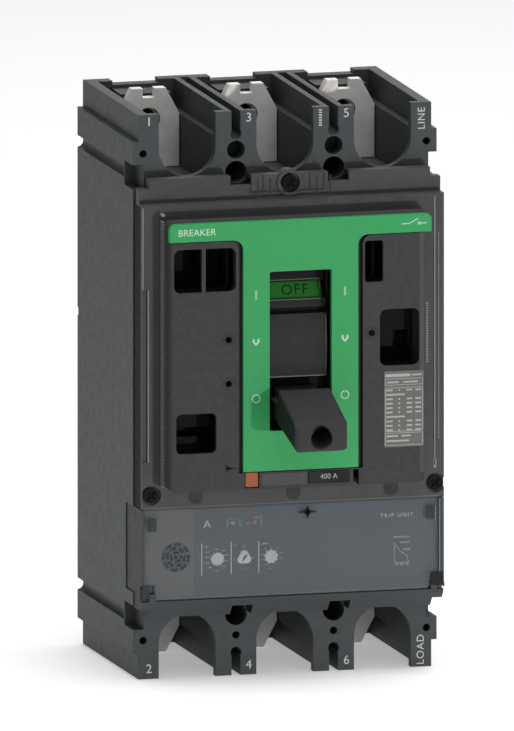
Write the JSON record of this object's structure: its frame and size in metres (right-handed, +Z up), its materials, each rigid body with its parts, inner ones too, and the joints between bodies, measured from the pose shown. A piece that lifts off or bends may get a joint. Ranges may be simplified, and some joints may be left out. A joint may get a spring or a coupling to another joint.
{
  "type": "moulded case circuit breaker",
  "caption": "Moulded case circuit breaker with a toggle handle, a green fascia, open terminal wells at both ends and an electronic trip unit behind a hinged window.",
  "frame": {"origin": "centre of the four fixing holes on the back plane", "axes": "+X right seen from the front, +Y towards the mounting plate, +Z up towards the line terminals"},
  "size_m": [0.14, 0.1589, 0.255],
  "materials": {
    "case_moulding": "fine-textured moulded thermoset, dark grey",
    "housing_moulding": "moulded, dark grey",
    "cover_moulding": "satin smoke-grey moulding",
    "green_moulding": "satin green moulding",
    "handle_moulding": "fine-grained black moulding",
    "off_green": "printed green plate",
    "on_red": "printed red plate",
    "button_orange": "orange moulding",
    "plate_print": "printed grey label",
    "tab_print": "printed black tab",
    "unit_face": "printed grey face",
    "window_clear": "clear smoke-grey moulding",
    "dial_white": "off-white moulding",
    "led_green": "green lens",
    "led_red": "red lens",
    "board": "green laminate",
    "tinned_copper": "tin-plated copper",
    "contact_copper": "copper with silver tips",
    "steel_parts": "zinc-plated steel",
    "springs": "spring steel wire",
    "screws": "zinc-plated steel",
    "cassette_moulding": "cream thermoset",
    "rotor_moulding": "brown thermoset",
    "insulator": "black moulding",
    "transformer": "dark green resin",
    "bar_blue": "blue moulding"
  },
  "bodies": {
    "case": {"case_base": "case_moulding", "front_housing": "housing_moulding", "accessory_cover": "cover_moulding", "fascia_plate": "green_moulding", "mechanism_frame": "steel_parts", "trip_button_spring": "springs", "rating_plate": "plate_print", "amp_rating_tab": "tab_print", "trip_unit_housing": "case_moulding", "trip_unit_face": "unit_face", "window_hinge_pins": "steel_parts", "ready_led": "led_green", "alarm_led": "led_red", "trip_unit_circuit_board": "board", "trip_actuator": "steel_parts", "current_transformer_1": "transformer", "current_transformer_2": "transformer", "current_transformer_3": "transformer", "cover_screws": "screws", "trip_unit_screws": "screws", "line_terminal_1": "tinned_copper", "line_terminal_3": "tinned_copper", "line_terminal_5": "tinned_copper", "load_terminal_2": "tinned_copper", "load_terminal_4": "tinned_copper", "load_terminal_6": "tinned_copper", "terminal_nut_holders": "insulator", "terminal_nuts": "screws", "pole_1_left_shell": "cassette_moulding", "pole_1_right_shell": "cassette_moulding", "pole_2_left_shell": "cassette_moulding", "pole_2_right_shell": "cassette_moulding", "pole_3_left_shell": "cassette_moulding", "pole_3_right_shell": "cassette_moulding", "arc_chutes_1": "steel_parts", "arc_chutes_2": "steel_parts", "arc_chutes_3": "steel_parts"},
    "handle": {"handle": "handle_moulding", "handle_shield": "handle_moulding", "off_flag": "off_green", "on_flag": "on_red", "handle_yoke": "steel_parts", "yoke_pivot_pins": "steel_parts", "main_springs": "springs"},
    "contact_shaft": {"contact_rotor_1": "rotor_moulding", "contact_rotor_2": "rotor_moulding", "contact_rotor_3": "rotor_moulding", "moving_contact_1": "contact_copper", "moving_contact_2": "contact_copper", "moving_contact_3": "contact_copper", "rotor_rods": "steel_parts", "toggle_links": "steel_parts"},
    "trip_button": {"trip_button": "button_orange"},
    "trip_bar": {"trip_bar": "bar_blue"},
    "trip_plunger": {"trip_plunger": "steel_parts"},
    "window": {"trip_unit_window": "window_clear"},
    "long_time_dial": {"long_time_dial": "dial_white"},
    "short_time_dial": {"short_time_dial": "dial_white"},
    "instant_dial": {"instant_dial": "dial_white"}
  },
  "joints": [
    {"name": "handle_pivot", "type": "hinge", "parent": "case", "child": "handle", "pos_m": [0, -0.042, 0.024], "axis": [-1, 0, 0], "range_deg": [-2, 33.4]},
    {"name": "contact_shaft_turn", "type": "hinge", "parent": "case", "child": "contact_shaft", "pos_m": [0, -0.034, 0.008], "axis": [-1, 0, 0], "range_deg": [-2.4, 40.08]},
    {"name": "trip_button_push", "type": "slide", "parent": "case", "child": "trip_button", "axis": [0, 1, 0], "range_m": [0, 0.003], "stiffness_N_per_m": 600, "springref_m": -0.001, "deforming": ["trip_button_spring"]},
    {"name": "trip_bar_turn", "type": "hinge", "parent": "case", "child": "trip_bar", "pos_m": [0, -0.08, -0.0438], "axis": [-1, 0, 0], "range_deg": [0, 19]},
    {"name": "trip_plunger_lift", "type": "slide", "parent": "case", "child": "trip_plunger", "axis": [0, 0, 1], "range_m": [0, 0.002], "stiffness_N_per_m": 300, "springref_m": -0.0005},
    {"name": "window_hinge", "type": "hinge", "parent": "case", "child": "window", "pos_m": [0, -0.10915, -0.0882], "axis": [1, 0, 0], "range_deg": [0, 100]},
    {"name": "long_time_setting", "type": "hinge", "parent": "case", "child": "long_time_dial", "pos_m": [-0.0343, -0.1, -0.0724], "axis": [0, -1, 0], "range_deg": [-120, 120]},
    {"name": "short_time_setting", "type": "hinge", "parent": "case", "child": "short_time_dial", "pos_m": [-0.0219, -0.1, -0.0724], "axis": [0, -1, 0], "range_deg": [-120, 120]},
    {"name": "instant_setting", "type": "hinge", "parent": "case", "child": "instant_dial", "pos_m": [-0.0095, -0.1, -0.0724], "axis": [0, -1, 0], "range_deg": [-120, 120]}
  ],
  "couplings": [
    {"joint": "contact_shaft_turn", "follows": "handle_pivot", "ratio": 1.2},
    {"joint": "trip_bar_turn", "follows": "trip_button_push", "rad_per_m": 108}
  ]
}
